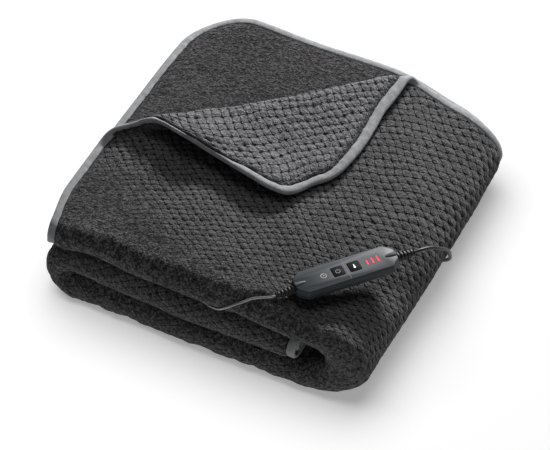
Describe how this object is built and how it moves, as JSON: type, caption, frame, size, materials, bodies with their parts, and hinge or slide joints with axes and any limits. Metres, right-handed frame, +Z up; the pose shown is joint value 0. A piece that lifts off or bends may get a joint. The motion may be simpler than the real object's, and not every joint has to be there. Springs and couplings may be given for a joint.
{
  "type": "electric heated blanket",
  "caption": "Bound fleece electric blanket, folded into a flat square stack with one corner turned over, with its wired handset on top.",
  "frame": {"origin": "middle of the folded blanket's base, on the surface it lies on", "axes": "+X from the bound left edge to the big right-hand bend, +Y from the front rolls to the bound back edge, +Z up"},
  "size_m": [0.4537, 0.5317, 0.1564],
  "materials": {
    "fleece": "charcoal waffle fleece with a soft pile",
    "tape": "light grey brushed tape, sewn on",
    "housing": "slate grey, fine satin grain",
    "key": "black, satin",
    "lamp": "red translucent lens",
    "sleeve": "black, satin moulded",
    "lead": "black sheath with a soft sheen",
    "plug": "black, fine moulded grain",
    "pin": "plated metal"
  },
  "bodies": {
    "blanket": {"cloth": "fleece", "binding": "tape", "entry_sleeve": "sleeve", "handset_housing": "housing", "lamp_low": "lamp", "lamp_middle": "lamp", "lamp_high": "lamp", "relief_mains": "sleeve", "relief_blanket": "sleeve", "lead_mains": "lead", "lead_plug": "lead", "lead_blanket": "lead", "mains_coil": "lead", "plug_body": "plug", "plug_tail": "plug", "plug_pin_left": "pin", "plug_pin_right": "pin"},
    "key_power": {"key_power": "key"},
    "key_heat": {"key_heat": "key"}
  },
  "joints": [
    {"name": "key_power_press", "type": "slide", "parent": "blanket", "child": "key_power", "axis": [-0.0178, -0.0215, -0.9996], "range_m": [0, 0.0007], "stiffness_N_per_m": 400, "springref_m": -0.0005},
    {"name": "key_heat_press", "type": "slide", "parent": "blanket", "child": "key_heat", "axis": [-0.0178, -0.0215, -0.9996], "range_m": [0, 0.0007], "stiffness_N_per_m": 400, "springref_m": -0.0005}
  ]
}
